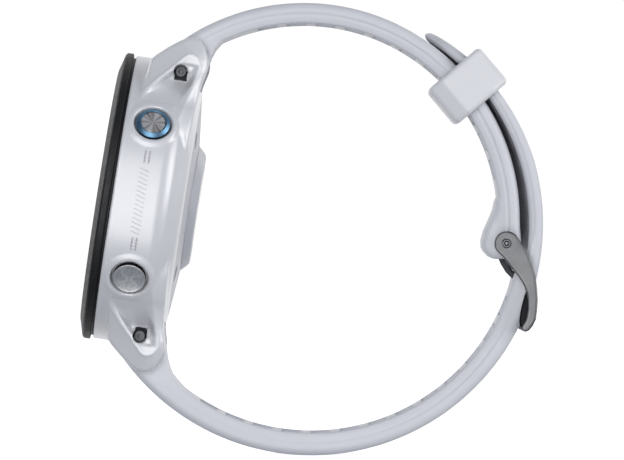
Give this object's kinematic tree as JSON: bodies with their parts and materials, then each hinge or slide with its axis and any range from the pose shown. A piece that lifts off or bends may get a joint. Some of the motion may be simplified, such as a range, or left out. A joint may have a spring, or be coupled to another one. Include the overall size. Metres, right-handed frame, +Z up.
{
  "type": "running watch",
  "caption": "Round GPS running watch with five side buttons on a closed two-piece silicone strap with pin buckle and sliding keeper.",
  "frame": {"origin": "centre of the bounding box footprint, under the closed strap loop the watch stands on", "axes": "+Z up as the watch stands on its strap, -X the side the dial faces (leaning 8.85 degrees), Y along the strap pins, -Y the side with two buttons"},
  "size_m": [0.0743, 0.0464, 0.0725],
  "materials": {
    "white_polymer": "satin moulded polymer",
    "black_polymer": "satin moulded polymer",
    "lens_glass": "polished cover glass",
    "screen": "display panel",
    "strap_silicone": "soft matt silicone",
    "seal_rubber": "seal",
    "brushed_steel": "brushed",
    "dark_steel": "dark brushed",
    "blue_anodised": "anodised",
    "board_green": "solder mask",
    "contact_gold": "plated",
    "cell_wrap": "foil pouch"
  },
  "bodies": {
    "case": {"case_body": "white_polymer", "bezel": "black_polymer", "display_lens": "lens_glass", "lens_gasket": "seal_rubber", "display_panel": "screen", "display_frame": "black_polymer", "main_board": "board_green", "board_chips": "brushed_steel", "gps_antenna": "contact_gold", "battery": "cell_wrap", "motor_can": "brushed_steel", "motor_shaft": "brushed_steel", "buzzer": "contact_gold", "back_cover": "white_polymer", "back_seal": "seal_rubber", "back_screws": "brushed_steel", "charge_contacts": "contact_gold", "sensor_housing": "white_polymer", "sensor_window": "lens_glass", "sensor_board": "board_green", "sensor_leds": "screen", "button_seals": "seal_rubber", "tact_switches": "black_polymer", "strap_upper": "strap_silicone", "strap_lower": "strap_silicone", "buckle_pin": "brushed_steel", "lug_pin_upper": "brushed_steel", "lug_pin_lower": "brushed_steel", "lug_screws": "dark_steel"},
    "start": {"start_button": "brushed_steel", "start_ring": "blue_anodised", "start_clip": "brushed_steel"},
    "back": {"back_button": "brushed_steel", "back_clip": "brushed_steel"},
    "light": {"light_button": "brushed_steel", "light_clip": "brushed_steel"},
    "up": {"up_button": "brushed_steel", "up_clip": "brushed_steel"},
    "down": {"down_button": "brushed_steel", "down_clip": "brushed_steel"},
    "keeper": {"keeper": "strap_silicone"},
    "frame": {"buckle_frame": "brushed_steel"},
    "tongue": {"buckle_tongue": "dark_steel"},
    "rotor": {"motor_rotor": "dark_steel"}
  },
  "joints": [
    {"name": "start_press", "type": "slide", "parent": "case", "child": "start", "axis": [-0.0838, 0.8387, -0.5382], "range_m": [0, 0.0004], "stiffness_N_per_m": 3000, "springref_m": -0.0001},
    {"name": "back_press", "type": "slide", "parent": "case", "child": "back", "axis": [0.0838, 0.8387, 0.5382], "range_m": [0, 0.0004], "stiffness_N_per_m": 3000, "springref_m": -0.0001},
    {"name": "light_press", "type": "slide", "parent": "case", "child": "light", "axis": [-0.0838, -0.8387, -0.5382], "range_m": [0, 0.0004], "stiffness_N_per_m": 3000, "springref_m": -0.0001},
    {"name": "up_press", "type": "slide", "parent": "case", "child": "up", "axis": [0, -1, 0], "range_m": [0, 0.0004], "stiffness_N_per_m": 3000, "springref_m": -0.0001},
    {"name": "down_press", "type": "slide", "parent": "case", "child": "down", "axis": [0.0838, -0.8387, 0.5382], "range_m": [0, 0.0004], "stiffness_N_per_m": 3000, "springref_m": -0.0001},
    {"name": "keeper_slide", "type": "hinge", "parent": "case", "child": "keeper", "pos_m": [-0.00062, 0, 0.03749], "axis": [0, 1, 0], "range_deg": [-6, 25]},
    {"name": "buckle_frame_hinge", "type": "hinge", "parent": "case", "child": "frame", "pos_m": [0.0312, 0, 0.03395], "axis": [0, -1, 0], "range_deg": [0, 2]},
    {"name": "buckle_tongue_hinge", "type": "hinge", "parent": "frame", "child": "tongue", "pos_m": [0.0312, 0, 0.03395], "axis": [0, -1, 0], "range_deg": [0, 1]},
    {"name": "motor_spin", "type": "hinge", "parent": "case", "child": "rotor", "pos_m": [-0.02855, -0.0052, 0.02883], "axis": [0.9881, 0, -0.1538], "continuous": true}
  ]
}
